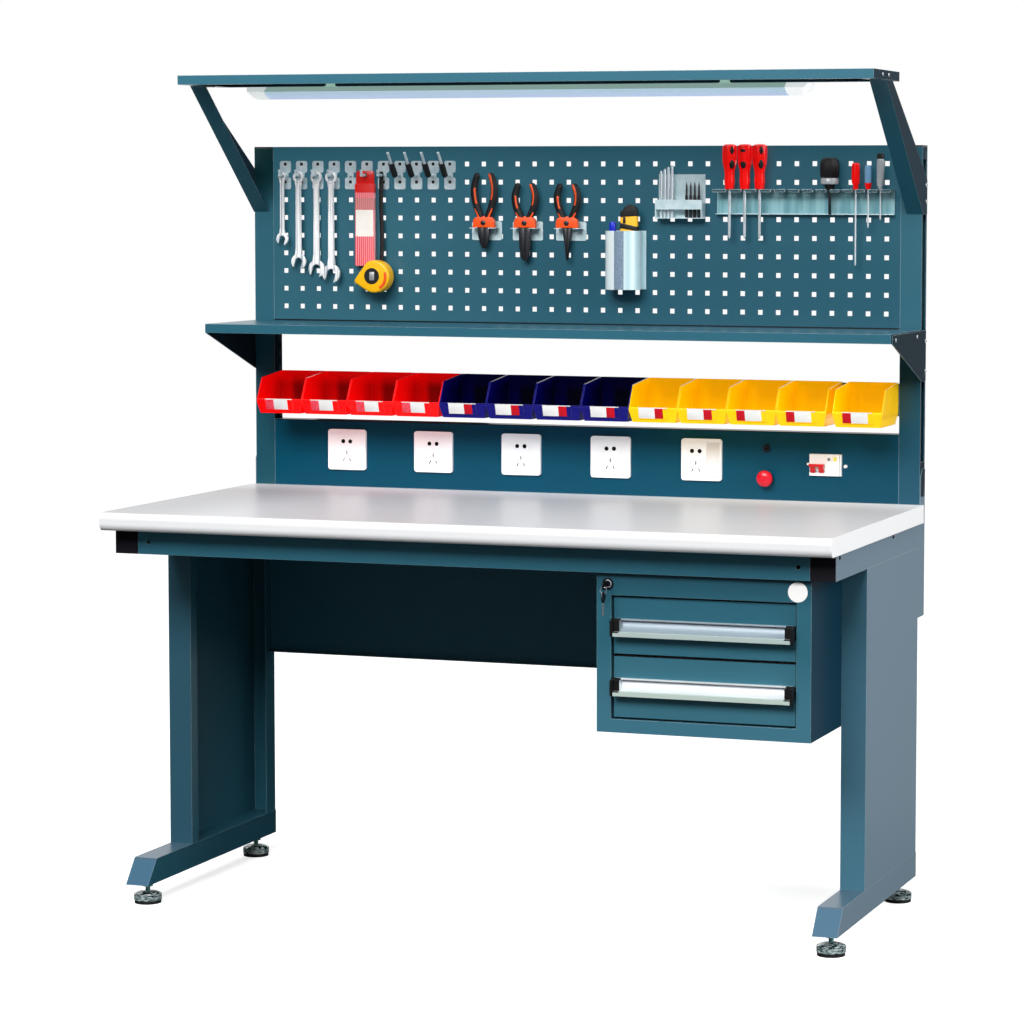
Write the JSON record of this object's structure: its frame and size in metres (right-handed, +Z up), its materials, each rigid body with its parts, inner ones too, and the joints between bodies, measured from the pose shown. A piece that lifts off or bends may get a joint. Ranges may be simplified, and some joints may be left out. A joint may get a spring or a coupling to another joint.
{
  "type": "anti-static workbench",
  "caption": "Steel-framed electronics workbench with laminate top, hanging drawer cabinet, socket strip, parts bins, shelf, perforated tool panel and overhead lamp canopy.",
  "frame": {"origin": "centre of the footprint, on the floor", "axes": "+X to the right seen from the front, +Y from the user towards the tool panel, +Z up"},
  "size_m": [1.514, 0.76, 1.693],
  "materials": {
    "chipboard": "raw",
    "laminate": "satin",
    "painted_steel": "gloss powder coat",
    "blue_steel": "gloss powder coat",
    "black_plastic": "moulded",
    "plated_steel": "zinc plated",
    "foot_cups": "polished",
    "lamp_aluminium": "anodised",
    "milky_plastic": "frosted",
    "white_plastic": "moulded",
    "red_plastic": "moulded",
    "yellow_plastic": "moulded",
    "blue_plastic": "moulded",
    "handle_aluminium": "anodised",
    "black_steel": "black oxide",
    "tool_chrome": "satin chrome",
    "tool_black": "dipped grips",
    "tool_mixed": "mixed"
  },
  "bodies": {
    "bench": {"worktop_core": "chipboard", "worktop_laminate": "laminate", "cross_rails": "painted_steel", "side_rails": "painted_steel", "tube_end_plugs": "black_plastic", "legs": "painted_steel", "foot_beams": "painted_steel", "foot_jam_nuts": "plated_steel", "modesty_panel": "painted_steel", "posts": "painted_steel", "post_sockets": "painted_steel", "tool_panel": "painted_steel", "shelf": "painted_steel", "shelf_brackets": "painted_steel", "canopy": "painted_steel", "canopy_arms": "painted_steel", "lamp_housing": "lamp_aluminium", "lamp_cover": "milky_plastic", "socket_strip_housing": "blue_steel", "socket_plates": "white_plastic", "panel_fittings": "black_plastic", "breaker_body": "white_plastic", "bin_rail": "painted_steel", "cabinet_shell": "painted_steel", "drawer_runners": "plated_steel", "lock_barrel": "black_steel", "panel_hooks": "plated_steel", "tool_holders": "plated_steel", "driver_rack": "plated_steel", "wrenches": "tool_chrome", "pliers": "tool_black", "screwdrivers": "red_plastic", "small_tools": "tool_mixed"},
    "red_bin_1": {"red_bin_1": "red_plastic"},
    "red_bin_2": {"red_bin_2": "red_plastic"},
    "red_bin_3": {"red_bin_3": "red_plastic"},
    "red_bin_4": {"red_bin_4": "red_plastic"},
    "blue_bin_1": {"blue_bin_1": "blue_plastic"},
    "blue_bin_2": {"blue_bin_2": "blue_plastic"},
    "blue_bin_3": {"blue_bin_3": "blue_plastic"},
    "blue_bin_4": {"blue_bin_4": "blue_plastic"},
    "yellow_bin_1": {"yellow_bin_1": "yellow_plastic"},
    "yellow_bin_2": {"yellow_bin_2": "yellow_plastic"},
    "yellow_bin_3": {"yellow_bin_3": "yellow_plastic"},
    "yellow_bin_4": {"yellow_bin_4": "yellow_plastic"},
    "yellow_bin_5": {"yellow_bin_5": "yellow_plastic"},
    "foot_front_left": {"foot_front_left": "foot_cups"},
    "foot_front_right": {"foot_front_right": "foot_cups"},
    "foot_rear_left": {"foot_rear_left": "foot_cups"},
    "foot_rear_right": {"foot_rear_right": "foot_cups"},
    "drawer_upper": {"drawer_upper": "painted_steel", "handle_upper": "handle_aluminium"},
    "drawer_lower": {"drawer_lower": "painted_steel", "handle_lower": "handle_aluminium"},
    "lock_key": {"lock_key": "black_steel"},
    "spare_key": {"spare_key": "black_steel"},
    "rocker_switch": {"rocker_switch": "white_plastic"},
    "breaker_toggle": {"breaker_toggle": "red_plastic"},
    "test_button": {"test_button": "yellow_plastic"},
    "red_push_button": {"red_push_button": "red_plastic"}
  },
  "joints": [
    {"name": "foot_front_left_screw", "type": "slide", "parent": "bench", "child": "foot_front_left", "axis": [0, 0, -1], "range_m": [0, 0.02]},
    {"name": "foot_front_right_screw", "type": "slide", "parent": "bench", "child": "foot_front_right", "axis": [0, 0, -1], "range_m": [0, 0.02]},
    {"name": "foot_rear_left_screw", "type": "slide", "parent": "bench", "child": "foot_rear_left", "axis": [0, 0, -1], "range_m": [0, 0.02]},
    {"name": "foot_rear_right_screw", "type": "slide", "parent": "bench", "child": "foot_rear_right", "axis": [0, 0, -1], "range_m": [0, 0.02]},
    {"name": "drawer_upper_slide", "type": "slide", "parent": "bench", "child": "drawer_upper", "axis": [0, -1, 0], "range_m": [0, 0.4]},
    {"name": "drawer_lower_slide", "type": "slide", "parent": "bench", "child": "drawer_lower", "axis": [0, -1, 0], "range_m": [0, 0.4]},
    {"name": "lock_turn", "type": "hinge", "parent": "bench", "child": "lock_key", "pos_m": [0.295, -0.31, 0.705], "axis": [0, 1, 0], "range_deg": [0, 90]},
    {"name": "spare_key_swing", "type": "hinge", "parent": "lock_key", "child": "spare_key", "pos_m": [0.295, -0.338, 0.70105], "axis": [0, 1, 0], "range_deg": [-25, 25]},
    {"name": "rocker_tilt", "type": "hinge", "parent": "bench", "child": "rocker_switch", "pos_m": [0.305, 0.3355, 0.895], "axis": [1, 0, 0], "range_deg": [0, 6]},
    {"name": "breaker_lever", "type": "hinge", "parent": "bench", "child": "breaker_toggle", "pos_m": [0.531, 0.342, 0.884], "axis": [1, 0, 0], "range_deg": [0, 48]},
    {"name": "test_button_press", "type": "slide", "parent": "bench", "child": "test_button", "axis": [0, 1, 0], "range_m": [0, 0.0015], "stiffness_N_per_m": 200, "springref_m": -0.001},
    {"name": "red_button_press", "type": "slide", "parent": "bench", "child": "red_push_button", "axis": [0, 1, 0], "range_m": [0, 0.004], "stiffness_N_per_m": 300, "springref_m": -0.002},
    {"name": "red_bin_1_lift", "type": "slide", "parent": "bench", "child": "red_bin_1", "axis": [0, 0, 1], "range_m": [0, 0.02]},
    {"name": "red_bin_2_lift", "type": "slide", "parent": "bench", "child": "red_bin_2", "axis": [0, 0, 1], "range_m": [0, 0.02]},
    {"name": "red_bin_3_lift", "type": "slide", "parent": "bench", "child": "red_bin_3", "axis": [0, 0, 1], "range_m": [0, 0.02]},
    {"name": "red_bin_4_lift", "type": "slide", "parent": "bench", "child": "red_bin_4", "axis": [0, 0, 1], "range_m": [0, 0.02]},
    {"name": "blue_bin_1_lift", "type": "slide", "parent": "bench", "child": "blue_bin_1", "axis": [0, 0, 1], "range_m": [0, 0.02]},
    {"name": "blue_bin_2_lift", "type": "slide", "parent": "bench", "child": "blue_bin_2", "axis": [0, 0, 1], "range_m": [0, 0.02]},
    {"name": "blue_bin_3_lift", "type": "slide", "parent": "bench", "child": "blue_bin_3", "axis": [0, 0, 1], "range_m": [0, 0.02]},
    {"name": "blue_bin_4_lift", "type": "slide", "parent": "bench", "child": "blue_bin_4", "axis": [0, 0, 1], "range_m": [0, 0.02]},
    {"name": "yellow_bin_1_lift", "type": "slide", "parent": "bench", "child": "yellow_bin_1", "axis": [0, 0, 1], "range_m": [0, 0.02]},
    {"name": "yellow_bin_2_lift", "type": "slide", "parent": "bench", "child": "yellow_bin_2", "axis": [0, 0, 1], "range_m": [0, 0.02]},
    {"name": "yellow_bin_3_lift", "type": "slide", "parent": "bench", "child": "yellow_bin_3", "axis": [0, 0, 1], "range_m": [0, 0.02]},
    {"name": "yellow_bin_4_lift", "type": "slide", "parent": "bench", "child": "yellow_bin_4", "axis": [0, 0, 1], "range_m": [0, 0.02]},
    {"name": "yellow_bin_5_lift", "type": "slide", "parent": "bench", "child": "yellow_bin_5", "axis": [0, 0, 1], "range_m": [0, 0.02]}
  ]
}
